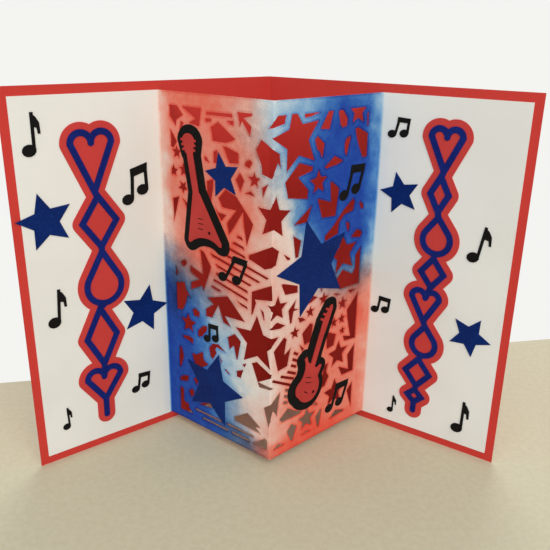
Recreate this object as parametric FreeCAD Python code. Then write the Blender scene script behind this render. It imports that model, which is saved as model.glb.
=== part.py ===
import FreeCAD, Part
import math
import os
from collections import namedtuple

# Driving size: everything else on the card follows its height, in mm.
CARD_HEIGHT = 139.7
FIT = CARD_HEIGHT / 139.7            # the drawn shapes below are scaled by this
LEAF_WIDTH = CARD_HEIGHT * 17 / 22   # spine to free edge of one cover leaf
BORDER = CARD_HEIGHT / 44            # strip of cover that shows round the insert
OPENING = 107.0                      # angle between the two cover leaves, degrees

# Sheets.
COVER_THICK = 0.3
INSERT_THICK = 0.3
TRIM_THICK = 0.3
BEND = 0.5                           # radius of a crease, at the middle of the sheet

# Worked out from the above.
INSERT_HEIGHT = CARD_HEIGHT - 2 * BORDER
PANEL_WIDTH = LEAF_WIDTH / 2         # the insert is folded into four equal panels
VALLEY = LEAF_WIDTH - BORDER - PANEL_WIDTH
LEAF_SLOPE = math.radians((180 - OPENING) / 2)
WING_SLOPE = math.acos(VALLEY * math.cos(LEAF_SLOPE) / PANEL_WIDTH)

# The cut-out field on the two middle panels, x from the middle fold and y from the insert's foot.
FIELD_LEFT = -48.5
FIELD_RIGHT = 47.0
FIELD_LOW = 3.4
FIELD_HIGH = 128.7
PAST_FOLD = 0.5
CUT_OVER = 0.3
STAR_WAIST = 0.47                    # inner radius of a star as a share of its outer one
OVAL_SIDES = 12

# Line figures on the side panels.
STROKE = 2.3
MAT_MARGIN = 2.4
GUITAR_MARGIN = 3.1

# Notes: what a head's width and a stem's width are before the note's height adds to them.
HEAD_LEAST = 1.8
STEM_LEAST = 0.5

UP = FreeCAD.Vector(0, 0, 1)
Arc = namedtuple("Arc", "mid end")


def at(point):
    """Vector in the drawing plane."""
    return FreeCAD.Vector(point[0], point[1], 0)


def closed(start, *steps):
    """Face inside a line that leaves start: a step is the next corner, or an Arc through mid to end."""
    edges = []
    here = at(start)
    for step in steps + (start,):
        if isinstance(step, Arc):
            end = at(step.end)
            edges.append(Part.Arc(here, at(step.mid), end).toShape())
        else:
            end = at(step)
            if end.distanceToPoint(here) > 1e-6:
                edges.append(Part.makeLine(here, end))
        here = end
    return Part.Face(Part.Wire(edges))


def box_face(left, low, right, high):
    """Upright rectangle."""
    return closed((left, low), (right, low), (right, high), (left, high))


def oval(x, y, across, high, tilt=12.0):
    """Filled ellipse on its side, tilted to the left, cut as a many-sided outline."""
    corners = []
    for step in range(OVAL_SIDES):
        angle = 2 * math.pi * step / OVAL_SIDES
        corners.append((across / 2 * math.cos(angle), high / 2 * math.sin(angle)))
    face = closed(*corners)
    face.rotate(FreeCAD.Vector(0, 0, 0), UP, tilt)
    face.translate(at((x, y)))
    return face


def disc(x, y, radius):
    circle = Part.makeCircle(radius, at((x, y)))
    return Part.Face(Part.Wire(circle))


def bar(start, end, wide):
    """Strip with square ends from start to end."""
    along = at(end) - at(start)
    side = UP.cross(along).normalize() * (wide / 2)
    corners = (at(start) - side, at(end) - side, at(end) + side, at(start) + side)
    return closed(*corners)


def join(faces):
    """One face from several that overlap, drawn round their shared outline."""
    slabs = [face.extrude(UP) for face in faces]
    whole = slabs[0].fuse(slabs[1:]).removeSplitter()
    return next(face for face in whole.Faces if abs(face.BoundBox.ZMax) < 1e-6)


def star(x, y, radius, turn=0.0, waist=STAR_WAIST):
    """Five-pointed star, its first tip turned to the left of straight up by turn degrees."""
    corners = []
    for step in range(10):
        reach = radius if step % 2 == 0 else radius * waist
        angle = math.radians(90 + turn + 36 * step)
        corners.append((x + reach * math.cos(angle), y + reach * math.sin(angle)))
    return closed(*corners)


def sheet(corners, thick, height, foot):
    """A card sheet on edge: its plan line, with rounded creases, made thick and pulled up."""
    front = plan_line(corners, -thick / 2)
    back = plan_line(corners, thick / 2)
    line = front + turned_back(back)
    face = closed(line[0], *line[1:])
    face.translate(UP * foot)
    return face.extrude(UP * height)


def plan_line(corners, shift):
    """Corners with an Arc at each crease, moved by shift to the left of the way they run."""
    first_way = (corners[1] - corners[0]).normalize()
    steps = [corners[0] + UP.cross(first_way) * shift]
    for before, here, after in zip(corners, corners[1:], corners[2:]):
        way_in = (here - before).normalize()
        way_out = (after - here).normalize()
        hand = math.copysign(1, way_in.cross(way_out).z)
        reach = BEND * math.tan(way_in.getAngle(way_out) / 2)
        centre = here - way_in * reach + UP.cross(way_in) * (hand * BEND)
        radius = BEND - hand * shift
        steps.append(centre - UP.cross(way_in) * (hand * radius))
        mid = centre + (here - centre).normalize() * radius
        steps.append(Arc(mid, centre - UP.cross(way_out) * (hand * radius)))
    last_way = (corners[-1] - corners[-2]).normalize()
    steps.append(corners[-1] + UP.cross(last_way) * shift)
    return steps


def turned_back(steps):
    """The same plan line run from its end to its start."""
    ends = [step.end if isinstance(step, Arc) else step for step in steps]
    back = [ends[-1]]
    for index in range(len(steps) - 1, 0, -1):
        if isinstance(steps[index], Arc):
            back.append(Arc(steps[index].mid, ends[index - 1]))
        else:
            back.append(ends[index - 1])
    return back


def leaf_way(side):
    """Unit vector along a cover leaf, away from the spine; side is -1 left, 1 right."""
    return FreeCAD.Vector(side * math.cos(LEAF_SLOPE), -math.sin(LEAF_SLOPE), 0)


def leaf_front(side):
    """Unit vector out of a leaf's inner face, towards the reader."""
    return FreeCAD.Vector(-side * math.sin(LEAF_SLOPE), -math.cos(LEAF_SLOPE), 0)


def cover_corners():
    spine = FreeCAD.Vector(0, COVER_THICK / 2 / math.cos(LEAF_SLOPE), 0)
    return [spine + leaf_way(-1) * LEAF_WIDTH, spine, spine + leaf_way(1) * LEAF_WIDTH]


def insert_corners():
    """The four panels' ends from left to right, at the middle of the sheet."""
    outer = []
    for side in (-1, 1):
        lift = leaf_front(side) * (INSERT_THICK / 2)
        outer.append((leaf_way(side) * (LEAF_WIDTH - BORDER) + lift, leaf_way(side) * VALLEY + lift))
    reach = math.sqrt(PANEL_WIDTH ** 2 - outer[1][1].x ** 2)
    ridge = FreeCAD.Vector(0, outer[1][1].y - reach, 0)
    return [outer[0][0], outer[0][1], ridge, outer[1][1], outer[1][0]]


def panel_frame(start, end, origin):
    """Placement with x along the panel, y up it and z out of its front face."""
    along = (end - start).normalize()
    facing = along.cross(UP)
    foot = origin + facing * (INSERT_THICK / 2) + UP * BORDER
    return FreeCAD.Placement(foot, FreeCAD.Rotation(along, UP, facing, "XYZ"))


CORNERS = insert_corners()
LEFT_SIDE = panel_frame(CORNERS[0], CORNERS[1], CORNERS[0])      # x from the outer edge
LEFT_WING = panel_frame(CORNERS[1], CORNERS[2], CORNERS[2])      # x from the middle fold, negative
RIGHT_WING = panel_frame(CORNERS[2], CORNERS[3], CORNERS[2])     # x from the middle fold
RIGHT_SIDE = panel_frame(CORNERS[3], CORNERS[4], CORNERS[3])     # x from the side fold


def on_panel(face, panel, low, high):
    """Solid on a panel from a drawn face, between two distances off the panel's front."""
    scaled = face.copy()
    scaled.scale(FIT)
    scaled.translate(UP * low)
    solids = [one.extrude(UP * (high - low)) for one in scaled.Faces]
    whole = solids[0] if len(solids) == 1 else Part.makeCompound(solids)
    whole.Placement = panel.multiply(whole.Placement)
    return whole


def trim(face, panel, layer=0):
    """A trim piece of its own, glued on the panel or on the trim below it."""
    low = layer * TRIM_THICK
    return on_panel(face, panel, low, low + TRIM_THICK)


# The cut-outs. Open stars: x, y, radius, turn.
OPEN_STARS = [
    (10.7, 120.2, 11.6, 11.3), (0.7, 94.8, 7.9, -5), (-6.6, 47.1, 11.1, 0), (2.8, 61.6, 5.1, -2),
    (21.6, 104.5, 4.6, 2), (36.6, 74.9, 8.2, 7), (41.0, 127.6, 5.2, 0), (-42.1, 44.8, 4.4, 0),
    (19.5, 10.1, 4.9, 0), (36.4, 32.9, 5.9, 0), (35.2, 16.0, 6.3, 0), (-8.1, 106.9, 2.9, 0),
    (-45.4, 111.9, 2.6, 0), (-47.4, 104.9, 2.5, 0), (-42.0, 105.8, 2.7, 0), (-42.6, 99.4, 2.6, 36),
    (11.8, 49.6, 2.7, 0), (19.6, 55.9, 2.5, 0), (26.7, 59.2, 2.8, 0), (37.6, 54.5, 2.7, 0),
    (37.6, 47.9, 2.3, 0), (33.1, 47.5, 2.3, 0), (38.3, 42.7, 1.9, 0),
]

# Straight slots of the striped stars that the trim partly covers: start, end.
SLOTS = [
    ((-39.7, 6.7), (-24.7, 6.7)), ((-35.4, 4.1), (-21.0, 4.1)), ((-19.4, 4.1), (-10.0, 4.1)),
    ((-21.9, 6.9), (-7.9, 6.9)), ((11.4, 41.7), (13.9, 40.1)), ((10.8, 39.2), (13.9, 37.4)),
    ((10.1, 36.9), (13.1, 35.3)), ((8.3, 34.8), (13.0, 32.4)), ((4.9, 34.0), (12.1, 30.6)),
    ((0.8, 33.6), (10.3, 28.5)), ((7.4, 27.5), (9.6, 26.4)), ((7.0, 25.0), (9.2, 23.9)),
    ((6.6, 22.5), (8.8, 21.4)),
]
STRIPED_STAR = (-17.7, 72.0, 19.0, -12.8)    # the one in full view: x, y, radius, turn
SLOT_WIDE = 1.1
SLOT_PITCH = 3.05
SLOT_SHIFT = 1.6                     # of the middle slot from the star's centre
SLOT_RIM = 2.4                       # card left between a slot's end and the star's tip
SLOT_LEAST = 1.0                     # area of the smallest slot worth cutting

# Splinters between the stars, corner by corner.
SPLINTERS_TOP_LEFT = [
    ((-48.5, 128.6), (-44.6, 128.6), (-41.5, 125.4), (-44.9, 123.6), (-45.4, 121.0), (-48.5, 124.5)),
    ((-41.7, 128.6), (-32.4, 128.6), (-33.5, 122.0), (-38.6, 122.9), (-35.6, 124.6), (-41.0, 127.6)),
    ((-42.9, 123.3), (-41.3, 122.9), (-42.2, 120.8), (-43.5, 120.1)),
    ((-48.3, 120.1), (-45.1, 115.8), (-46.9, 113.3), (-48.5, 113.6)),
    ((-48.4, 94.3), (-44.8, 95.6), (-48.2, 85.2)),
    ((-43.1, 95.3), (-40.5, 93.5), (-40.8, 91.0)),
    ((-30.0, 127.6), (-17.9, 127.8), (-17.8, 126.5), (-30.0, 126.5)),
    ((-20.6, 125.3), (-17.2, 125.6), (-17.2, 124.0), (-18.8, 124.0)),
    ((-30.6, 125.3), (-27.5, 125.4), (-27.6, 124.4), (-30.3, 124.0)),
    ((-28.1, 122.4), (-24.4, 124.6), (-16.5, 119.5), (-21.0, 117.8), (-27.2, 117.8)),
    ((-22.4, 116.6), (-20.3, 116.6), (-15.1, 115.0), (-15.1, 111.5), (-19.5, 111.1)),
    ((-15.7, 128.6), (-9.0, 128.6), (-9.2, 127.8), (-12.9, 126.9), (-9.4, 124.4), (-10.0, 121.0),
     (-13.6, 125.6), (-14.6, 123.8)),
    ((-26.9, 114.2), (-24.9, 115.0), (-25.0, 110.4), (-26.9, 110.3)),
    ((-31.3, 112.1), (-30.2, 112.0), (-28.8, 110.0), (-31.3, 110.6)),
    ((-14.5, 108.6), (-12.6, 106.1), (-14.4, 101.9), (-16.6, 105.8)),
    ((-12.2, 112.4), (-9.9, 113.6), (-8.9, 112.6), (-10.3, 110.4), (-12.4, 111.1)),
    ((-12.4, 101.7), (-9.5, 102.9), (-7.6, 101.3)),
    ((-4.8, 104.8), (-1.9, 106.6), (-4.4, 101.4)),
    ((-7.6, 117.1), (-5.1, 120.8), (2.8, 116.3), (3.4, 111.4), (2.0, 113.3), (-0.5, 108.2),
     (-4.9, 109.3), (-5.2, 112.3)),
    ((-2.2, 124.4), (1.5, 128.6), (5.5, 128.6), (4.8, 125.8)),
    ((-24.9, 97.9), (-21.3, 101.7), (-16.3, 100.1), (-8.5, 91.5), (-11.5, 83.0), (-12.9, 89.5),
     (-13.3, 94.9), (-18.0, 88.0), (-20.0, 85.6), (-20.8, 89.6), (-16.3, 95.0), (-23.0, 95.0)),
    ((-26.5, 94.8), (-25.2, 92.9), (-21.0, 92.6), (-23.6, 89.9), (-25.0, 91.8)),
    ((-30.4, 103.3), (-26.9, 104.7), (-27.4, 100.4), (-28.5, 96.1), (-30.5, 98.5)),
]
SPLINTERS_MID_LEFT = [
    ((-10.6, 79.9), (0.0, 85.3), (3.2, 83.0), (1.9, 78.2), (-3.5, 76.3), (-10.6, 78.5)),
    ((-9.2, 66.6), (0.0, 71.2), (0.2, 65.4), (-7.6, 64.0), (-7.0, 62.9), (-8.8, 57.6), (-9.4, 57.8)),
    ((-5.1, 61.3), (-3.4, 60.2), (-3.0, 57.2), (-3.6, 57.2), (-4.7, 59.6)),
    ((-31.3, 58.5), (-20.8, 61.8), (-12.2, 53.8), (-22.2, 53.3), (-19.2, 49.6), (-23.3, 50.4),
     (-25.8, 56.7), (-29.0, 50.7), (-32.4, 50.5), (-32.4, 53.5), (-28.4, 56.4)),
    ((-34.7, 77.0), (-32.6, 76.4), (-29.0, 71.2), (-33.2, 60.6), (-34.2, 62.6), (-40.2, 59.6),
     (-40.0, 62.5), (-35.5, 64.8), (-40.0, 66.5), (-40.0, 69.4), (-33.4, 67.4)),
    ((-45.3, 69.6), (-43.3, 71.1), (-41.9, 70.4), (-42.9, 68.6), (-44.4, 68.2)),
    ((-48.1, 67.7), (-46.9, 65.0), (-48.1, 63.4)),
    ((-48.3, 60.5), (-43.6, 61.8), (-42.9, 58.9), (-40.1, 55.7), (-42.2, 56.8), (-43.3, 52.9),
     (-45.4, 49.4), (-48.3, 49.4)),
    ((-39.7, 51.1), (-37.9, 52.3), (-35.6, 51.1), (-36.1, 48.9), (-39.0, 48.8)),
]
SPLINTERS_LOW_LEFT = [
    ((-37.0, 40.5), (-37.0, 43.0), (-34.0, 46.0), (-31.7, 46.4), (-32.0, 44.5), (-35.0, 41.0)),
    ((-46.0, 38.3), (-42.2, 39.2), (-39.7, 38.6), (-40.1, 35.8), (-41.5, 36.9), (-45.1, 37.4)),
    ((-47.4, 33.5), (-46.3, 32.8), (-45.4, 28.9), (-46.9, 24.6), (-48.1, 23.1), (-48.3, 28.1)),
    ((-40.8, 32.1), (-37.9, 32.3), (-34.5, 34.6), (-34.0, 31.0), (-31.5, 29.9), (-36.1, 26.9), (-39.4, 27.8)),
    ((-30.5, 33.8), (-31.1, 37.4), (-29.0, 39.9), (-25.8, 40.6), (-21.7, 38.1), (-27.0, 38.9), (-27.6, 37.8),
     (-27.0, 36.5), (-29.0, 33.0)),
    ((-25.8, 36.4), (-24.2, 34.2), (-24.7, 31.9)),
    ((-21.3, 45.0), (-17.4, 47.6), (-14.3, 45.4), (-16.1, 37.2), (-16.8, 37.0), (-18.1, 42.4), (-20.3, 40.1)),
    ((-13.8, 36.0), (-11.7, 37.3), (-12.2, 35.6), (-13.0, 35.2)),
    ((-16.7, 32.4), (-13.1, 34.0), (-14.5, 29.9), (-16.7, 29.9)),
    ((-23.1, 30.7), (-21.9, 31.2), (-19.9, 29.6), (-21.2, 29.4)),
    ((-9.2, 38.2), (-6.5, 39.6), (0.8, 36.2), (0.0, 34.9), (-5.8, 31.5), (0.0, 31.3), (1.6, 30.2),
     (-5.5, 29.4)),
    ((-18.0, 11.8), (-11.0, 16.3), (-4.4, 12.2), (-6.9, 11.5), (-4.2, 9.4), (-17.9, 10.0)),
    ((-8.6, 3.7), (-2.2, 8.6), (-1.2, 8.0), (-1.2, 3.6)),
    ((-3.2, 21.5), (4.9, 27.7), (3.4, 17.8), (1.4, 20.7), (-0.8, 13.6)),
    ((-48.3, 14.2), (-46.1, 14.0), (-46.3, 8.1), (-43.2, 7.5), (-43.4, 6.0), (-40.9, 3.6), (-48.5, 3.4)),
    ((-43.3, 13.9), (-41.1, 15.6), (-39.9, 14.9), (-40.6, 12.4), (-42.2, 11.5)),
    ((-40.4, 20.3), (-38.6, 21.7), (-37.6, 20.3), (-38.3, 17.8)),
    ((-48.5, 18.1), (-45.8, 20.3), (-42.8, 21.0), (-43.6, 18.1), (-47.9, 17.1)),
    ((-37.4, 9.9), (-34.7, 11.5), (-30.8, 12.8), (-29.7, 10.6)),
]
SPLINTERS_TOP_RIGHT = [
    ((13.6, 128.4), (21.6, 128.5), (17.0, 127.3), (13.8, 127.0)),
    ((45.8, 126.6), (46.8, 127.0), (47.0, 122.0), (46.2, 121.8)),
    ((21.5, 122.8), (25.3, 128.5), (28.0, 128.5), (26.2, 122.4)),
    ((30.3, 128.3), (32.8, 128.5), (35.4, 125.4), (35.3, 122.9), (32.8, 122.2), (31.5, 123.6)),
    ((39.6, 121.4), (41.4, 121.8), (47.0, 119.2), (47.0, 110.8), (44.4, 110.6), (41.0, 117.2)),
    ((34.9, 118.3), (37.4, 119.4), (37.5, 118.0), (35.7, 112.0), (34.5, 113.5), (34.2, 116.5)),
    ((18.9, 119.5), (20.3, 120.6), (24.0, 117.6), (23.2, 112.9), (22.2, 113.6), (21.6, 115.2), (20.2, 116.0)),
    ((24.2, 109.4), (29.4, 112.9), (34.0, 110.6), (31.5, 109.7), (25.5, 108.8)),
    ((5.2, 106.6), (11.8, 112.4), (18.6, 110.2), (18.2, 108.9), (11.5, 107.4), (16.6, 102.4),
     (16.3, 99.3), (6.8, 100.9)),
    ((21.2, 98.7), (28.3, 96.4), (27.6, 103.6), (28.4, 103.9), (32.6, 100.8), (31.3, 90.8), (23.9, 91.2)),
    ((9.6, 90.9), (18.9, 97.0), (16.4, 90.9)),
    ((9.6, 87.3), (13.9, 84.6), (12.6, 78.9), (11.0, 78.6)),
    ((5.1, 81.6), (8.7, 79.3), (8.3, 78.6), (6.9, 79.1)),
    ((26.0, 81.8), (25.8, 84.0), (30.3, 87.3), (35.6, 92.4), (40.6, 96.0), (41.8, 94.3), (41.0, 91.2),
     (36.2, 90.3), (33.5, 87.5), (33.0, 83.6)),
    ((44.2, 93.8), (45.3, 94.0), (47.0, 92.0), (46.7, 90.8), (45.1, 91.5)),
    ((37.1, 87.1), (38.9, 87.1), (39.6, 85.0), (38.9, 83.4), (38.1, 83.9)),
    ((40.3, 80.9), (43.5, 83.4), (46.4, 82.3), (46.9, 80.7), (45.6, 79.8)),
]
SPLINTERS_LOW_RIGHT = [
    ((43.7, 73.0), (46.8, 76.0), (46.8, 60.8), (35.6, 60.8), (33.2, 65.4), (36.6, 68.6), (42.4, 65.6),
     (43.9, 68.0)),
    ((4.4, 70.5), (5.6, 70.5), (12.8, 68.0), (12.8, 65.3), (6.4, 66.0)),
    ((-1.1, 54.3), (1.6, 56.2), (2.8, 56.5), (6.9, 54.1), (4.6, 53.5)),
    ((8.1, 59.6), (12.1, 63.2), (11.4, 59.5), (13.6, 58.7), (11.0, 58.4), (10.1, 54.1), (9.1, 53.9)),
    ((1.2, 45.4), (6.2, 49.6), (7.8, 48.3), (6.8, 42.5), (10.0, 44.5), (8.4, 37.1), (3.5, 36.5)),
    ((13.1, 55.4), (15.5, 54.8), (17.4, 53.2), (14.2, 52.9)),
    ((17.2, 59.2), (20.6, 62.2), (23.4, 60.7), (20.0, 59.5)),
    ((24.5, 64.0), (25.9, 63.6), (25.3, 62.2)),
    ((31.9, 60.0), (35.8, 58.9), (33.9, 58.6)),
    ((40.4, 59.3), (44.9, 58.6), (42.1, 57.5)),
    ((46.6, 56.8), (46.6, 36.9), (39.8, 37.6), (38.8, 40.2), (43.2, 38.8), (40.8, 48.0), (40.5, 51.0)),
    ((15.6, 48.2), (19.7, 51.3), (21.4, 50.2), (20.6, 43.4), (17.0, 43.0)),
    ((14.2, 44.2), (16.9, 41.6), (16.0, 40.5)),
    ((29.2, 43.3), (30.4, 44.2), (34.7, 42.1), (33.7, 37.6), (29.6, 37.1)),
    ((26.8, 20.6), (29.5, 21.0), (31.6, 24.6), (30.0, 27.0), (31.0, 30.8), (28.4, 30.4)),
    ((46.4, 34.5), (46.4, 22.1), (39.4, 22.3), (37.0, 27.0), (43.2, 23.8), (42.2, 30.7)),
    ((46.3, 17.0), (46.3, 4.7), (43.1, 13.8)),
    ((4.7, 15.8), (9.0, 19.0), (12.6, 16.6), (16.8, 14.8), (15.4, 13.9), (6.0, 13.9)),
    ((22.0, 15.3), (24.6, 15.5), (25.6, 13.9)),
    ((8.7, 8.7), (11.2, 11.2), (14.2, 8.9), (12.1, 3.4), (11.2, 3.4)),
    ((1.7, 3.5), (4.2, 5.1), (7.8, 3.5)),
    ((16.4, 3.5), (19.2, 4.4), (22.6, 3.5)),
    ((24.6, 8.7), (27.4, 11.5), (28.1, 10.3), (26.9, 3.5), (26.0, 3.5)),
    ((32.8, 4.2), (36.4, 7.1), (42.1, 5.3), (41.4, 4.6)),
]
SPLINTERS = (SPLINTERS_TOP_LEFT + SPLINTERS_MID_LEFT + SPLINTERS_LOW_LEFT
             + SPLINTERS_TOP_RIGHT + SPLINTERS_LOW_RIGHT)


def striped_star(x, y, radius, turn):
    """Parallel slots across a star, kept inside its outline; they lean with the star."""
    inner = star(x, y, radius - SLOT_RIM, turn)
    slots = []
    rows = int(radius / SLOT_PITCH)
    for row in range(-rows, rows + 1):
        level = SLOT_SHIFT + row * SLOT_PITCH
        strip = bar((-radius, level), (radius, level), SLOT_WIDE)
        strip.rotate(FreeCAD.Vector(0, 0, 0), UP, turn)
        strip.translate(at((x, y)))
        slots.extend(face for face in inner.common(strip).Faces if face.Area > SLOT_LEAST)
    return slots


def cut_out_faces():
    faces = [star(*row) for row in OPEN_STARS]
    faces.extend(striped_star(*STRIPED_STAR))
    faces.extend(bar(start, end, SLOT_WIDE) for start, end in SLOTS)
    faces.extend(closed(*corners) for corners in SPLINTERS)
    return faces


def insert():
    """White sheet in four panels: the outer two on the cover, the middle two cut out and standing proud."""
    body = sheet(CORNERS, INSERT_THICK, INSERT_HEIGHT, BORDER)
    halves = (
        (LEFT_WING, box_face(FIELD_LEFT, FIELD_LOW, PAST_FOLD, FIELD_HIGH)),
        (RIGHT_WING, box_face(-PAST_FOLD, FIELD_LOW, FIELD_RIGHT, FIELD_HIGH)),
    )
    cutters = []
    for face in cut_out_faces():
        for panel, field in halves:
            for part in face.common(field).Faces:
                if part.Area > 0.3:
                    cutters.append(on_panel(part, panel, -INSERT_THICK - CUT_OVER, CUT_OVER))
    return body.cut(cutters).removeSplitter()


def cover():
    """Red sheet folded once at the spine."""
    return sheet(cover_corners(), COVER_THICK, CARD_HEIGHT, 0)


def beamed_note(first, second, beam_left, beam_right):
    """Two notes under one beam, from the centres of their heads and the two upper corners of the beam."""
    tall = beam_left[1] - first[1]
    across = HEAD_LEAST + tall * 0.27
    stem = STEM_LEAST + tall * 0.07
    shapes = []
    low_corners = []
    for head, corner, inward in ((first, beam_left, 1), (second, beam_right, -1)):
        foot = (head[0] + (across - stem) / 2, head[1])
        top = (corner[0] + inward * stem * 0.65, corner[1] - tall * 0.12)
        way = (at(corner) - at(foot)).normalize()
        low_corners.append(at(corner) - way * (tall * 0.28))
        shapes.append(oval(head[0], head[1], across, across * 0.83))
        shapes.append(bar(foot, top, stem))
    shapes.append(closed(beam_left, beam_right, low_corners[1], low_corners[0]))
    return join(shapes)


def single_note(x, y, size, lean):
    """Note with one flag; x and y are the head's centre and size the height of the stem."""
    head = size * 0.33
    stem = size * 0.09
    foot = (x + head * 0.42, y)
    top = (foot[0] + size * lean, y + size)
    flag = closed(
        (top[0] - stem / 2, top[1]), (top[0] + size * 0.1, top[1] - size * 0.12),
        (top[0] + size * 0.19, top[1] - size * 0.28), (top[0] + size * 0.2, top[1] - size * 0.57),
        (top[0] + size * 0.13, top[1] - size * 0.57), (top[0] + size * 0.11, top[1] - size * 0.41),
        (top[0] - stem / 2, top[1] - size * 0.37),
    )
    return join([oval(x, y, head * 1.2, head), bar(foot, top, stem), flag])


def ring(outline):
    """Line figure: the outline drawn with the stroke, its outer corners left sharp."""
    sharp = 2
    outside = outline.makeOffset2D(STROKE / 2, sharp)
    inside = outline.makeOffset2D(-STROKE / 2)
    return outside.cut(inside)


def tail_bar(start, end, wide):
    """Strip with a round end."""
    return join([bar(start, end, wide), disc(end[0], end[1], wide / 2)])


def diamond(x, high, low, wide, shoulder=0.5):
    """Four-cornered kite, its side corners at the shoulder's share of the way down."""
    level = high + (low - high) * shoulder
    return closed((x, high), (x + wide / 2, level), (x, low), (x - wide / 2, level))


def drop(x, high, low, wide):
    """Pointed top and round foot."""
    radius = wide / 2
    centre = low + radius
    slant = math.asin(radius / (high - centre))
    touch_x = radius * math.cos(slant)
    touch_y = centre + radius * math.sin(slant)
    return closed((x, high), (x + touch_x, touch_y), Arc((x, low), (x - touch_x, touch_y)))


def heart(x, high, low, wide):
    """Two round lobes over a point."""
    lobe = wide / 4
    level = high - lobe
    return closed((x, level), Arc((x - lobe, high), (x - wide / 2, level)),
                  (x, low), (x + wide / 2, level), Arc((x + lobe, high), (x, level)))


Figure = namedtuple("Figure", "shape x high low wide")

# The two garlands of line figures, from the top down; each figure hangs on the one above it.
LEFT_FIGURES = [
    Figure(heart, 26.5, 120.5, 99.5, 15), Figure(diamond, 27.5, 97.8, 79.0, 13),
    Figure(drop, 27.5, 77.2, 57.0, 13.5), Figure(diamond, 25.0, 55.2, 32.0, 12.0),
    Figure(heart, 24.5, 30.0, 17.0, 13.5),
]
RIGHT_FIGURES = [
    Figure(heart, 26.3, 122.5, 107.5, 11.5), Figure(diamond, 25.5, 105.5, 92.5, 7),
    Figure(drop, 26.0, 90.5, 76.5, 10.5), Figure(diamond, 25.7, 74.5, 63.0, 9),
    Figure(heart, 24.0, 61.0, 48.5, 11), Figure(drop, 25.0, 46.6, 34.0, 9.5),
    Figure(diamond, 23.6, 32.0, 20.0, 10), Figure(diamond, 23.3, 18.2, 12.5, 6),
]
LEFT_TAIL = ((24.5, 17.0), (24.4, 10.0))
RIGHT_TAIL = ((23.3, 12.5), (23.2, 8.6))


def garland(figures, tail):
    """Mat and line figures that hang from one another, with links between them and a tail."""
    outlines = [one.shape(one.x, one.high, one.low, one.wide) for one in figures]
    links = [((up.x, up.low), (down.x, link_top(down))) for up, down in zip(figures, figures[1:])]
    grown = STROKE / 2 + MAT_MARGIN
    lines = [ring(outline) for outline in outlines] + [bar(*link, STROKE) for link in links]
    lines.append(tail_bar(*tail, STROKE))
    mats = [outline.makeOffset2D(grown) for outline in outlines] + [bar(*link, 2 * grown) for link in links]
    mats.append(tail_bar(*tail, 2 * grown))
    return join(mats), join(lines)


def link_top(figure):
    """Height at which a link meets a figure's top: the notch of a heart, the point of the others."""
    return figure.high - figure.wide / 4 if figure.shape is heart else figure.high


def wedge_guitar():
    """Guitar with a wedge of a body: its outline without pegs, the whole, and cuts that show the mat."""
    body = closed((-37.0, 98.5), (-39.9, 80.0), (-39.4, 79.0), (-38.6, 79.3),
                  Arc((-34.9, 81.4), (-30.8, 82.1)), Arc((-27.4, 81.7), (-24.2, 80.1)),
                  (-23.2, 80.1), (-23.2, 81.4), (-33.8, 98.5))
    neck = closed((-39.8, 113.4), (-36.9, 98.0), (-34.0, 98.0), (-36.8, 113.4))
    head = closed((-40.2, 112.4), (-41.8, 117.0), Arc((-38.8, 119.4), (-35.7, 117.0)), (-36.5, 112.4))
    pegs = []
    for step in range(3):
        level = 117.0 - 1.7 * step
        left = -42.5 + 0.35 * step
        right = -35.0 - 0.2 * step
        pegs.append(bar((left, level), (right, level), 0.8))
    plain = join([body, neck, head])
    cuts = [disc(-29.1, 84.4, 0.7)]
    cuts.extend(bar((-34.8, level), (-32.0, level), 0.4) for level in (89.0, 87.2, 85.2))
    return plain, join([plain] + pegs), cuts


def horned_guitar():
    """Guitar with two short horns on a round body, given as the wedge guitar is."""
    body = closed((20.2, 34.4), (18.9, 35.4), (18.2, 37.9), (17.0, 37.0), Arc((17.3, 32.0), (14.8, 28.2)),
                  Arc((12.5, 25.0), (14.2, 21.4)), Arc((18.0, 18.3), (22.0, 18.6)),
                  Arc((24.9, 22.2), (24.3, 27.6)), (26.4, 31.8), (25.6, 32.4), (23.6, 31.5))
    neck = closed((24.7, 46.0), (19.9, 32.6), (22.2, 31.8), (27.5, 45.6))
    head = closed((24.7, 45.4), (26.4, 50.6), (30.2, 55.9), (31.3, 56.0), (31.5, 54.4), (27.5, 45.0))
    pegs = []
    for step in range(3):
        start = (25.0 + 1.4 * step, 51.6 + 1.75 * step)
        pegs.append(bar(start, (start[0] + 2.4, start[1] - 1.3), 0.9))
    plain = join([body, neck, head])
    cuts = [disc(22.2, 21.4, 0.75)]
    lines = (((17.8, 29.2), (20.8, 28.2)), ((17.6, 27.0), (21.0, 26.0)), ((17.0, 23.4), (19.0, 22.0)))
    cuts.extend(bar(start, end, 0.4) for start, end in lines)
    return plain, join([plain] + pegs), cuts


def guitar_pair(drawn, panel, aside):
    """Black mat cut with a margin round the guitar and glued a little aside of it, and the guitar on it."""
    plain, outline, cuts = drawn
    mat = plain.makeOffset2D(GUITAR_MARGIN)
    mat.translate(at((aside, 0)))
    return trim(mat, panel), trim(outline.cut(cuts), panel, layer=1)


# Blue stars glued on: panel, x, y, radius, turn.
BLUE_STARS = [
    (LEFT_SIDE, 8.2, 91.4, 10.3, 11.5), (LEFT_SIDE, 43.4, 50.0, 10.2, -15.4),
    (LEFT_WING, -22.6, 106.2, 8.3, 12.0), (LEFT_WING, -29.3, 20.4, 16.0, -12.5),
    (RIGHT_WING, 20.8, 73.2, 18.9, 14.8),
    (RIGHT_SIDE, 10.0, 97.1, 8.2, 15.0), (RIGHT_SIDE, 42.5, 47.1, 8.3, -26.0),
]

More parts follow.
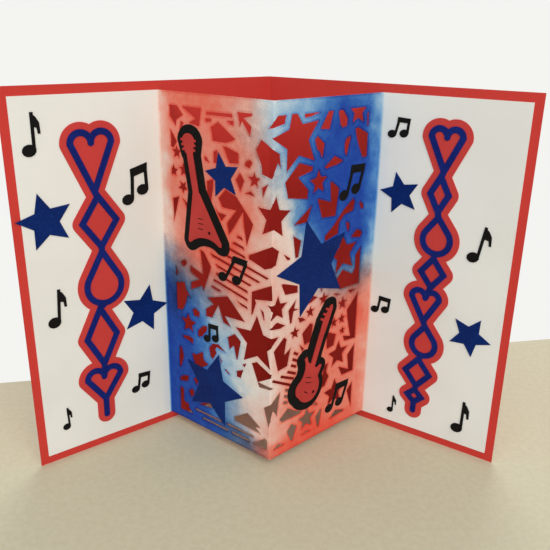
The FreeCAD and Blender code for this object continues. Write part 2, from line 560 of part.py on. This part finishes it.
# Notes glued on: panel, shape and that shape's own values.
NOTES = [
    (LEFT_SIDE, single_note, (5.3, 115.9, 12.3, 0.01)),
    (LEFT_SIDE, beamed_note, ((39.3, 94.8), (45.4, 97.9), (40.7, 105.9), (47.6, 107.8))),
    (LEFT_SIDE, single_note, (7.6, 53.8, 12.3, 0.07)),
    (LEFT_SIDE, single_note, (8.0, 10.2, 7.8, -0.03)),
    (LEFT_SIDE, beamed_note, ((37.5, 16.3), (41.9, 17.3), (39.1, 22.9), (44.4, 22.6))),
    (LEFT_WING, beamed_note, ((-23.1, 69.1), (-16.3, 69.2), (-17.7, 78.2), (-10.9, 77.7))),
    (LEFT_WING, beamed_note, ((-31.8, 41.3), (-27.4, 42.5), (-31.0, 47.9), (-25.8, 48.3))),
    (RIGHT_WING, beamed_note, ((35.0, 97.8), (41.4, 99.4), (38.5, 108.5), (46.2, 108.3))),
    (RIGHT_WING, beamed_note, ((32.3, 9.7), (38.3, 10.5), (36.1, 19.5), (43.6, 19.2))),
    (RIGHT_SIDE, beamed_note, ((5.0, 118.9), (9.7, 119.4), (7.0, 125.1), (12.0, 124.8))),
    (RIGHT_SIDE, single_note, (40.2, 78.0, 11.8, 0.17)),
    (RIGHT_SIDE, beamed_note, ((3.0, 48.4), (7.5, 49.1), (4.6, 54.5), (9.8, 54.2))),
    (RIGHT_SIDE, single_note, (13.2, 5.2, 6.9, 0.03)),
    (RIGHT_SIDE, single_note, (41.9, 7.1, 12.1, 0.02)),
]


def make_parts():
    """Every piece of the card by its node name."""
    parts = {"cover": cover(), "insert": insert()}
    left_mat, left_lines = garland(LEFT_FIGURES, LEFT_TAIL)
    right_mat, right_lines = garland(RIGHT_FIGURES, RIGHT_TAIL)
    parts["left_garland_mat"] = trim(left_mat, LEFT_SIDE)
    parts["left_garland"] = trim(left_lines, LEFT_SIDE, layer=1)
    parts["right_garland_mat"] = trim(right_mat, RIGHT_SIDE)
    parts["right_garland"] = trim(right_lines, RIGHT_SIDE, layer=1)
    parts["wedge_guitar_mat"], parts["wedge_guitar"] = guitar_pair(wedge_guitar(), LEFT_WING, 0.5)
    parts["horned_guitar_mat"], parts["horned_guitar"] = guitar_pair(horned_guitar(), RIGHT_WING, -0.7)
    for number, (panel, x, y, radius, turn) in enumerate(BLUE_STARS, 1):
        parts[f"blue_star_{number}"] = trim(star(x, y, radius, turn), panel)
    for number, (panel, shape, values) in enumerate(NOTES, 1):
        parts[f"note_{number}"] = trim(shape(*values), panel)
    return parts


def centred(parts):
    """The parts moved so that the middle of their shared footprint is the origin and the foot is at z 0."""
    box = Part.makeCompound(list(parts.values())).BoundBox
    shift = FreeCAD.Vector(-box.Center.x, -box.Center.y, -box.ZMin)
    for shape in parts.values():
        shape.translate(shift)
    return parts


def main():
    os.makedirs("parts", exist_ok=True)
    for node, shape in centred(make_parts()).items():
        shape.exportStep(f"parts/{node}.step")


main()
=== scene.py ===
import logging
import math
from dataclasses import dataclass, field
from enum import Enum
from typing import Union

import bmesh
import bpy
from mathutils import Matrix, Vector

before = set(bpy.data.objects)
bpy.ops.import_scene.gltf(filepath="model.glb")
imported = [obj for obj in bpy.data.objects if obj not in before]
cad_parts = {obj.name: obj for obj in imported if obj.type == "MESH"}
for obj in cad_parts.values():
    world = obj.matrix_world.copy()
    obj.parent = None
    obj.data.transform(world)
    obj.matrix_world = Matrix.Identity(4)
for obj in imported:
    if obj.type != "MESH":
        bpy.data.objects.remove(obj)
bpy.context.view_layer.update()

logging.basicConfig(level=logging.INFO, format="%(message)s")
log = logging.getLogger("card")

MM = 0.001
SOFT_LOW = 0.3
SOFT_HIGH = 0.7
MIX_FIRST, MIX_SECOND, MIX_RESULT = 6, 7, 2

Socket = bpy.types.NodeSocket
Value = Union[Socket, float, tuple]
Color = tuple[int, int, int]


class Ink(Enum):
    """The two sprayed inks on the die-cut panels."""

    CORAL = (247, 99, 79)
    BLUE = (22, 78, 184)


def linear(rgb: Color) -> tuple[float, float, float, float]:
    """Turns an 8-bit display colour into the linear colour that a shader takes.

    Args:
        rgb: Red, green and blue from 0 to 255.

    Returns:
        The linear colour with alpha 1.
    """
    parts = []
    for value in rgb:
        share = value / 255
        parts.append(share / 12.92 if share <= 0.04045 else ((share + 0.055) / 1.055) ** 2.4)
    return (parts[0], parts[1], parts[2], 1.0)


class Graph:
    """A material's node tree, with short calls for the nodes that the card's finishes use."""

    def __init__(self, name: str) -> None:
        """Starts an empty material of that name with one shader."""
        self.material = bpy.data.materials.new(name)
        self.material.use_nodes = True
        self.tree = self.material.node_tree
        self.shader = self.tree.nodes["Principled BSDF"]
        source = self.add("ShaderNodeTexCoord")
        self.place = source.outputs["Object"]
        self.normal = source.outputs["Normal"]

    def add(self, kind: str, **values: object) -> bpy.types.Node:
        """Adds a node and sets its properties.

        Args:
            kind: Blender's name for the node.
            values: Properties of the node by name.

        Returns:
            The new node.
        """
        node = self.tree.nodes.new(kind)
        for name, value in values.items():
            setattr(node, name, value)
        return node

    def put(self, socket: Socket, value: Value) -> None:
        """Links value to the socket if it is an output, and otherwise sets it."""
        if isinstance(value, Socket):
            self.tree.links.new(value, socket)
        else:
            socket.default_value = value

    def math(self, operation: str, first: Value, second: Value = 0.0) -> Socket:
        """Joins two values by a math node.

        Args:
            operation: Blender's name for the operation.
            first: A number or an output.
            second: A number or an output.

        Returns:
            The result.
        """
        node = self.add("ShaderNodeMath", operation=operation)
        self.put(node.inputs[0], first)
        self.put(node.inputs[1], second)
        return node.outputs[0]

    def noise(self, scale: float, detail: float = 2.0, rough: float = 0.5) -> Socket:
        """Noise in the object's own coordinates.

        Args:
            scale: Cells to a metre.
            detail: Layers of finer noise.
            rough: Strength of the finer layers.

        Returns:
            The noise from 0 to 1.
        """
        node = self.add("ShaderNodeTexNoise")
        self.put(node.inputs["Vector"], self.place)
        self.put(node.inputs["Scale"], scale)
        self.put(node.inputs["Detail"], detail)
        self.put(node.inputs["Roughness"], rough)
        return node.outputs["Fac"]

    def centred_noise(self, scale: float, detail: float) -> Socket:
        """Noise as a vector whose parts run from about -0.5 to 0.5.

        Args:
            scale: Cells to a metre.
            detail: Layers of finer noise.

        Returns:
            The vector.
        """
        node = self.add("ShaderNodeTexNoise")
        self.put(node.inputs["Vector"], self.place)
        self.put(node.inputs["Scale"], scale)
        self.put(node.inputs["Detail"], detail)
        centred = self.add("ShaderNodeVectorMath", operation="SUBTRACT")
        self.put(centred.inputs[0], node.outputs["Color"])
        centred.inputs[1].default_value = (0.5, 0.5, 0.5)
        return centred.outputs[0]

    def span(self, value: Value, low: float, high: float, start: float = 0.0,
             end: float = 1.0) -> Socket:
        """Smooth step of a value from low to high.

        Args:
            value: The output to read.
            low: The value at which the step starts.
            high: The value at which it ends.
            start: The result at low.
            end: The result at high.

        Returns:
            The stepped value.
        """
        node = self.add("ShaderNodeMapRange", interpolation_type="SMOOTHSTEP", clamp=True)
        for index, part in enumerate((value, low, high, start, end)):
            self.put(node.inputs[index], part)
        return node.outputs[0]

    def mix(self, amount: Value, first: Value, second: Value) -> Socket:
        """Mixes two colours by an amount, and returns the result."""
        node = self.add("ShaderNodeMix", data_type="RGBA", clamp_factor=True)
        self.put(node.inputs[0], amount)
        self.put(node.inputs[MIX_FIRST], first)
        self.put(node.inputs[MIX_SECOND], second)
        return node.outputs[MIX_RESULT]

    def stain(self, color: Value, ink: Color, amount: Value) -> Socket:
        """Stains a colour by a transparent ink, deeper and more saturated with its amount.

        Args:
            color: The colour under the ink.
            ink: The ink's display colour on white at an amount of 1.
            amount: How much ink there is.

        Returns:
            The stained colour.
        """
        film = self.add("ShaderNodeGamma")
        self.put(film.inputs["Color"], linear(ink))
        self.put(film.inputs["Gamma"], amount)
        node = self.add("ShaderNodeMix", data_type="RGBA", blend_type="MULTIPLY")
        self.put(node.inputs[0], 1.0)
        self.put(node.inputs[MIX_FIRST], color)
        self.put(node.inputs[MIX_SECOND], film.outputs[0])
        return node.outputs[MIX_RESULT]

    def rim(self, reach: float, turn: float) -> Socket:
        """A band beside the sheet's cut edges, read from how far a rounded edge would turn the normal.

        Args:
            reach: The band's width in metres.
            turn: The turn at which the band is full, as 1 less the cosine.

        Returns:
            1 at a cut edge, falling to 0 at the band's inner side.
        """
        rounded = self.add("ShaderNodeBevel", samples=6)
        rounded.inputs["Radius"].default_value = reach
        flat = self.add("ShaderNodeNewGeometry")
        along = self.add("ShaderNodeVectorMath", operation="DOT_PRODUCT")
        self.put(along.inputs[0], rounded.outputs[0])
        self.put(along.inputs[1], flat.outputs["True Normal"])
        return self.span(along.outputs["Value"], 1.0, 1.0 - turn)

    def aside(self) -> Socket:
        """Distance from the card's middle fold, measured across the card."""
        still = self.add("ShaderNodeSeparateXYZ")
        self.put(still.inputs[0], self.place)
        return self.math("ABSOLUTE", still.outputs[0])

    def surface(self, roughness: float, gloss: float) -> None:
        """Sets the shader's roughness and its specular level."""
        self.shader.inputs["Roughness"].default_value = roughness
        self.shader.inputs["Specular IOR Level"].default_value = gloss

    def bump(self, height: Value, distance: float) -> None:
        """Raises the surface by a height, at most distance in metres."""
        node = self.add("ShaderNodeBump")
        self.put(node.inputs["Distance"], distance)
        self.put(node.inputs["Height"], height)
        self.put(self.shader.inputs["Normal"], node.outputs[0])


@dataclass(frozen=True)
class PlainCard:
    """Matt card of one colour with a fine tooth."""

    name: str
    color: Color
    deep: Color
    tooth: float = 0.00004
    grain: float = 1400.0
    roughness: float = 0.75
    gloss: float = 0.3
    blotch: float = 60.0

    def material(self) -> bpy.types.Material:
        """Builds the card's material.

        Returns:
            The material.
        """
        graph = Graph(self.name)
        blotch = graph.span(graph.noise(self.blotch, 4.0, 0.6), SOFT_LOW, SOFT_HIGH)
        tone = graph.mix(blotch, linear(self.deep), linear(self.color))
        graph.put(graph.shader.inputs["Base Color"], tone)
        graph.surface(self.roughness, self.gloss)
        graph.bump(graph.noise(self.grain, 3.0, 0.6), self.tooth)
        return graph.material


@dataclass(frozen=True)
class GlitterCard:
    """Card with a coat of very fine dark glitter: the specks differ a little in tone and gloss, and a few
    carry a painted glint, a paler colour that stands in for sparkle.
    """

    name: str
    color: Color
    deep: Color
    # painted glint: the paler colour of the few specks that stand in for sparkle
    painted_glint: Color
    speck: float = 3600.0
    painted_glint_share: float = 0.02
    speck_tone: float = 0.4
    smoothest: float = 0.45
    roughest: float = 0.75
    gloss: float = 0.12
    relief: float = 0.00003
    blotch: float = 90.0

    def material(self) -> bpy.types.Material:
        """Builds the glitter's material.

        Returns:
            The material.
        """
        graph = Graph(self.name)
        cells = graph.add("ShaderNodeTexVoronoi")
        graph.put(cells.inputs["Vector"], graph.place)
        cells.inputs["Scale"].default_value = self.speck
        parts = graph.add("ShaderNodeSeparateColor")
        graph.put(parts.inputs[0], cells.outputs["Color"])
        blotch = graph.span(graph.noise(self.blotch, 3.0, 0.6), SOFT_LOW, SOFT_HIGH,
                            0.0, 1.0 - self.speck_tone)
        paler = graph.math("ADD", blotch, graph.math("MULTIPLY", parts.outputs[0], self.speck_tone))
        tone = graph.mix(paler, linear(self.deep), linear(self.color))
        # painted glint: a small share of specks takes a paler colour in place of real sparkle
        painted_glint = graph.math("GREATER_THAN", parts.outputs[1], 1.0 - self.painted_glint_share)
        graph.put(graph.shader.inputs["Base Color"], graph.mix(painted_glint, tone, linear(self.painted_glint)))
        rough = graph.span(parts.outputs[2], 0.0, 1.0, self.smoothest, self.roughest)
        graph.put(graph.shader.inputs["Roughness"], rough)
        graph.shader.inputs["Specular IOR Level"].default_value = self.gloss
        graph.bump(parts.outputs[1], self.relief)
        return graph.material


@dataclass(frozen=True)
class Cloud:
    """A soft-edged field of sprayed ink: centre and reach across the card and up it, in mm."""

    ink: Ink
    x: float
    z: float
    reach_x: float
    reach_z: float
    strength: float = 1.0
    edge: float = 0.45


@dataclass(frozen=True)
class SprayedCard:
    """White card with ink sprayed on the two middle panels, and a breath of it past the folds.

    The places of the folds, the band of thin ink beside them, the rim and the crease are in mm.
    """

    name: str
    color: Color
    shade: Color
    clouds: tuple[Cloud, ...]
    side_fold: float = 40.8
    overspray: float = 0.03
    overspray_reach: float = 4.0
    drift: float = 0.014
    drift_grain: float = 70.0
    speckle: float = 0.5
    fine_spray: float = 1900.0
    coarse_spray: float = 260.0
    full: float = 1.05
    fold_width: float = 6.5
    back_facing: float = 0.7
    rim_reach: float = 1.3
    rim_turn: float = 0.2
    rim_darkening: float = 1.2
    crease: float = 2.0
    tooth: float = 0.00003
    grain: float = 1500.0
    roughness: float = 0.72
    gloss: float = 0.3
    fold_share: dict[Ink, tuple[float, float]] = field(
        default_factory=lambda: {Ink.CORAL: (0.4, 0.7), Ink.BLUE: (1.0, 0.5)})

    def cloud(self, graph: Graph, x: Socket, z: Socket, one: Cloud) -> Socket:
        """How much ink a cloud leaves at a point.

        Args:
            graph: The material's nodes.
            x: The point's place across the card, in metres.
            z: Its height.
            one: The cloud.

        Returns:
            The share of ink, from 0 to 1.
        """
        across = graph.math("DIVIDE", graph.math("SUBTRACT", x, one.x * MM), one.reach_x * MM)
        up = graph.math("DIVIDE", graph.math("SUBTRACT", z, one.z * MM), one.reach_z * MM)
        squares = graph.math("ADD", graph.math("POWER", across, 2.0), graph.math("POWER", up, 2.0))
        return graph.span(graph.math("SQRT", squares), 1.0 + one.edge, 1.0 - one.edge, 0.0, one.strength)

    def thin(self, graph: Graph, x: Socket, ink: Ink) -> Socket:
        """How much thinner an ink lies beside the side folds than away from them.

        Args:
            graph: The material's nodes.
            x: The point's place across the card, in metres.
            ink: The ink.

        Returns:
            A factor from the ink's least up to 1.
        """
        left, right = self.fold_share[ink]
        width = self.fold_width * MM
        edge = self.side_fold * MM
        from_left = graph.span(x, -edge, width - edge, left, 1.0)
        from_right = graph.span(x, edge, edge - width, right, 1.0)
        return graph.math("MULTIPLY", from_left, from_right)

    def mask(self, graph: Graph) -> Socket:
        """Where ink falls: the front and cut edges of the middle panels, ending softly at the side folds.

        Args:
            graph: The material's nodes.

        Returns:
            1 on the middle panels' front, near 0 past the folds, and 0 on the panels' back.
        """
        aside = graph.aside()
        inside = graph.span(aside, (self.side_fold + 0.8) * MM, (self.side_fold - 0.3) * MM,
                            self.overspray, 1.0)
        near = graph.span(aside, (self.side_fold + self.overspray_reach) * MM, self.side_fold * MM)
        facing = graph.add("ShaderNodeSeparateXYZ")
        graph.put(facing.inputs[0], graph.normal)
        front = graph.math("LESS_THAN", facing.outputs[1], self.back_facing)
        return graph.math("MULTIPLY", graph.math("MULTIPLY", inside, near), front)

    def darker_rim(self, graph: Graph) -> Socket:
        """How much the ink's amount is raised along the die-cut openings, away from the folds, which makes
        their rims darker.

        Args:
            graph: The material's nodes.

        Returns:
            A factor from 1 up.
        """
        aside = graph.aside()
        off_peak = graph.span(aside, 0.0, self.crease * MM)
        off_side = graph.span(aside, self.side_fold * MM, (self.side_fold - self.crease) * MM)
        rim = graph.rim(self.rim_reach * MM, self.rim_turn)
        flat = graph.math("MULTIPLY", off_peak, off_side)
        extra = graph.math("MULTIPLY", graph.math("MULTIPLY", rim, flat), self.rim_darkening)
        return graph.math("ADD", extra, 1.0)

    def material(self) -> bpy.types.Material:
        """Builds the sprayed card's material.

        Returns:
            The material.
        """
        graph = Graph(self.name)
        spread = graph.add("ShaderNodeSeparateXYZ")
        moved = graph.add("ShaderNodeVectorMath", operation="MULTIPLY_ADD")
        graph.put(moved.inputs[0], graph.centred_noise(self.drift_grain, 3.0))
        moved.inputs[1].default_value = (self.drift, 0.0, self.drift)
        graph.put(moved.inputs[2], graph.place)
        graph.put(spread.inputs[0], moved.outputs[0])
        x, z = spread.outputs[0], spread.outputs[2]
        mask = self.mask(graph)
        spray = graph.math("ADD", graph.noise(self.fine_spray, 2.0, 0.7),
                           graph.noise(self.coarse_spray, 2.0, 0.6))
        spray = graph.math("MULTIPLY", graph.math("SUBTRACT", spray, 1.0), self.speckle)
        tint = graph.mix(graph.span(graph.noise(25.0), 0.35, 0.65), linear(self.shade), linear(self.color))
        darker_rim = self.darker_rim(graph)
        for ink in Ink:
            amount: Value = 0.0
            for one in self.clouds:
                if one.ink is ink:
                    amount = graph.math("ADD", amount, self.cloud(graph, x, z, one))
            amount = graph.math("MINIMUM", amount, self.full)
            amount = graph.math("MULTIPLY", amount, self.thin(graph, x, ink))
            loose = graph.math("MULTIPLY", spray, graph.math("SQRT", amount))
            amount = graph.math("MAXIMUM", graph.math("ADD", amount, loose), 0.0)
            amount = graph.math("MULTIPLY", amount, darker_rim)
            tint = graph.stain(tint, ink.value, graph.math("MULTIPLY", amount, mask))
        graph.put(graph.shader.inputs["Base Color"], tint)
        graph.surface(self.roughness, self.gloss)
        graph.bump(graph.noise(self.grain, 3.0, 0.6), self.tooth)
        return graph.material


RED_CARD = PlainCard("red card", (207, 58, 50), (203, 56, 48))
MAT_RED = PlainCard("red mat card", (204, 61, 57), (199, 58, 54))
CORAL_CARD = PlainCard("coral card", (194, 60, 55), (178, 50, 46), 0.00008, 700.0)
BLACK_CARD = PlainCard("black card", (17, 15, 15), (9, 8, 8), 0.00012, 1100.0, 0.8, 0.14)
# third colour of each: the painted glint on the few sparkling specks
BLUE_GLITTER = GlitterCard("blue glitter card", (2, 40, 110), (0, 29, 92), (22, 62, 140))
BLUE_LINE = GlitterCard("blue line card", (16, 36, 118), (8, 26, 100), (30, 54, 140))
INSERT_CARD = SprayedCard(
    "sprayed insert card", (239, 238, 234), (233, 232, 227),
    (
        Cloud(Ink.CORAL, -25, 110, 19, 42, 0.62, 0.45),
        Cloud(Ink.CORAL, -17, 76, 15, 18, 0.24, 0.6),
        Cloud(Ink.CORAL, -26, 135, 17, 8, 0.16, 0.5),
        Cloud(Ink.CORAL, -3, 80, 12, 34, 0.12, 0.7),
        Cloud(Ink.CORAL, -42, 66, 8, 20, 0.42, 0.5),
        Cloud(Ink.CORAL, 9, 46, 16, 34, 0.09, 0.7),
        Cloud(Ink.CORAL, 4, 8, 18, 16, 0.22, 0.7),
        Cloud(Ink.CORAL, 29, 28, 22, 38, 0.62, 0.45),
        Cloud(Ink.CORAL, 40, 57, 9, 15, 0.32, 0.4),
        Cloud(Ink.CORAL, 20, 0, 28, 10, 0.34, 0.6),
        Cloud(Ink.CORAL, 4, 0, 20, 8, 0.26, 0.6),
        Cloud(Ink.BLUE, 4, 122, 12, 20, 0.08, 0.6),
        Cloud(Ink.BLUE, 23, 122, 21, 18, 0.28, 0.4),
        Cloud(Ink.BLUE, 30, 100, 18, 36, 0.30, 0.35),
        Cloud(Ink.BLUE, 28, 105, 16, 30, 0.66, 0.5),
        Cloud(Ink.BLUE, 36, 101, 7, 30, 0.30, 0.3),
        Cloud(Ink.BLUE, -31, 34, 16, 34, 0.30, 0.5),
        Cloud(Ink.BLUE, -40, 28, 16, 40, 0.72, 0.45),
        Cloud(Ink.BLUE, -42, 44, 6, 26, 0.50, 0.5),
        Cloud(Ink.BLUE, -28, 0, 21, 12, 0.56, 0.6),
        Cloud(Ink.BLUE, -18, 14, 8, 12, 0.18, 0.6),
    ),
)


Finish = Union[PlainCard, GlitterCard, SprayedCard]


@dataclass
class CardPieces:
    """The card's own pieces from the frame, each with the finish that it is cut from."""

    finishes: dict[str, Finish] = field(default_factory=lambda: {
        "cover": RED_CARD,
        "insert": INSERT_CARD,
        "left_garland_mat": MAT_RED,
        "right_garland_mat": MAT_RED,
        "left_garland": BLUE_LINE,
        "right_garland": BLUE_LINE,
        "wedge_guitar_mat": BLACK_CARD,
        "horned_guitar_mat": BLACK_CARD,
        "wedge_guitar": CORAL_CARD,
        "horned_guitar": CORAL_CARD,
        "blue_star": BLUE_GLITTER,
        "note": BLACK_CARD,
    })

    def finish_for(self, node: str) -> Finish:
        """The finish of a node, by its full name or by its name without the number."""
        return self.finishes.get(node) or self.finishes[node.rsplit("_", 1)[0]]

    def dress(self, nodes: dict[str, bpy.types.Object]) -> None:
        """Gives each node its material.

        Args:
            nodes: The frame's objects by name.
        """
        made: dict[str, bpy.types.Material] = {}
        for name, piece in nodes.items():
            finish = self.finish_for(name)
            if finish.name not in made:
                made[finish.name] = finish.material()
            piece.data.materials.clear()
            piece.data.materials.append(made[finish.name])
            log.info("%s: %s", name, finish.name)


@dataclass(frozen=True)
class Lamp:
    """A square soft lamp that faces the card: place and side in metres, power in watts."""

    name: str
    place: tuple[float, float, float]
    side: float
    power: float
    tint: tuple[float, float, float]
    aim: tuple[float, float, float] = (0.0, 0.0, 0.07)

    def build(self) -> None:
        """Hangs the lamp."""
        data = bpy.data.lights.new(self.name, "AREA")
        data.size = self.side
        data.energy = self.power
        data.color = self.tint
        lamp = bpy.data.objects.new(self.name, data)
        bpy.context.scene.collection.objects.link(lamp)
        lamp.location = self.place
        lamp.rotation_euler = (Vector(self.aim) - Vector(self.place)).to_track_quat("-Z", "Y").to_euler()


LAMPS = (
    Lamp("window", (-0.7, -1.3, 0.9), 1.2, 6.0, (0.80, 0.90, 1.0)),
    Lamp("room", (0.6, -1.4, 1.2), 1.2, 15.0, (1.0, 0.97, 0.9)),
    Lamp("behind", (0.3, 1.5, 1.0), 1.2, 12.0, (1.0, 0.99, 0.96)),
)


@dataclass(frozen=True)
class TableTop:
    """The pale top that the card stands on."""

    name: str = "table top"
    color: Color = (211, 205, 178)
    deep: Color = (204, 197, 168)
    speck: float = 420.0
    tooth: float = 0.00005
    grain: float = 900.0
    roughness: float = 0.6
    gloss: float = 0.3

    def material(self) -> bpy.types.Material:
        """Builds the top's material.

        Returns:
            The material.
        """
        graph = Graph(self.name)
        speck = graph.span(graph.noise(self.speck, 4.0, 0.7), SOFT_LOW, SOFT_HIGH)
        tone = graph.mix(speck, linear(self.deep), linear(self.color))
        graph.put(graph.shader.inputs["Base Color"], tone)
        graph.surface(self.roughness, self.gloss)
        graph.bump(graph.noise(self.grain, 3.0, 0.6), self.tooth)
        return graph.material


@dataclass
class Studio:
    """Floor, backdrop, lamps and camera round the card: sizes in metres, angles in degrees.

    The floor's back edge lies floor_back behind the card and slants by floor_slant to a metre.
    """

    floor_half: float = 0.7
    floor_front: float = -0.8
    floor_back: float = 0.0534
    floor_slant: float = 0.1657
    light: float = 0.52
    wall: Color = (244, 244, 241)
    focal_px: float = 669.1
    frame_px: float = 550.0
    sensor_mm: float = 36.0
    camera_place: tuple[float, float, float] = (-0.0073, -0.2485, 0.1574)
    yaw: float = 2.21
    pitch: float = 20.13
    roll: float = 0.88

    def floor(self) -> bpy.types.Object:
        """Makes the plain pale floor that the card stands on.

        Returns:
            The floor.
        """
        mesh = bpy.data.meshes.new("floor")
        shape = bmesh.new()
        half = self.floor_half
        slant = half * self.floor_slant
        corners = ((-half, self.floor_front), (half, self.floor_front),
                   (half, self.floor_back + slant), (-half, self.floor_back - slant))
        bmesh.ops.contextual_create(shape, geom=[shape.verts.new((x, y, 0.0)) for x, y in corners])
        shape.to_mesh(mesh)
        shape.free()
        floor = bpy.data.objects.new("floor", mesh)
        bpy.context.scene.collection.objects.link(floor)
        mesh.materials.append(TableTop().material())
        return floor

    def world(self) -> None:
        """Makes the soft light from all round and the pale backdrop that the camera and gloss see."""
        world = bpy.data.worlds.new("soft light")
        bpy.context.scene.world = world
        world.use_nodes = True
        tree = world.node_tree
        light = tree.nodes["Background"]
        light.inputs["Color"].default_value = (1.0, 1.0, 1.0, 1.0)
        light.inputs["Strength"].default_value = self.light
        wall = tree.nodes.new("ShaderNodeBackground")
        wall.inputs["Color"].default_value = linear(self.wall)
        wall.inputs["Strength"].default_value = 1.0
        path = tree.nodes.new("ShaderNodeLightPath")
        choice = tree.nodes.new("ShaderNodeMixShader")
        seen: Socket = path.outputs["Is Camera Ray"]
        for ray in ("Is Glossy Ray", "Is Transmission Ray"):
            either = tree.nodes.new("ShaderNodeMath")
            either.operation = "MAXIMUM"
            tree.links.new(seen, either.inputs[0])
            tree.links.new(path.outputs[ray], either.inputs[1])
            seen = either.outputs[0]
        tree.links.new(seen, choice.inputs[0])
        tree.links.new(light.outputs[0], choice.inputs[1])
        tree.links.new(wall.outputs[0], choice.inputs[2])
        tree.links.new(choice.outputs[0], tree.nodes["World Output"].inputs["Surface"])

    def camera(self) -> None:
        """Sets the camera at the photograph's place and angle."""
        data = bpy.data.cameras.new("camera")
        data.sensor_width = self.sensor_mm
        data.lens = self.sensor_mm * self.focal_px / self.frame_px
        data.clip_start = 0.01
        camera = bpy.data.objects.new("camera", data)
        bpy.context.scene.collection.objects.link(camera)
        yaw, pitch, roll = (math.radians(angle) for angle in (self.yaw, self.pitch, self.roll))
        ahead = Vector((math.sin(yaw) * math.cos(pitch), math.cos(yaw) * math.cos(pitch), -math.sin(pitch)))
        right = Vector((math.cos(yaw), -math.sin(yaw), 0.0))
        up = right.cross(ahead)
        turned_right = right * math.cos(roll) + up * math.sin(roll)
        turned_up = up * math.cos(roll) - right * math.sin(roll)
        turn = Matrix((turned_right, turned_up, -ahead)).transposed()
        camera.matrix_world = Matrix.Translation(self.camera_place) @ turn.to_4x4()
        bpy.context.scene.camera = camera

    def build(self) -> None:
        """Builds the studio."""
        self.floor()
        self.world()
        for lamp in LAMPS:
            lamp.build()
        self.camera()
        log.info("studio: floor, backdrop, %d lamps, camera", len(LAMPS))


def main() -> None:
    """Dresses the card and sets it in the studio."""
    CardPieces().dress(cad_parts)
    Studio().build()
    bpy.context.scene.view_settings.view_transform = "Standard"


if __name__ == "__main__":
    main()
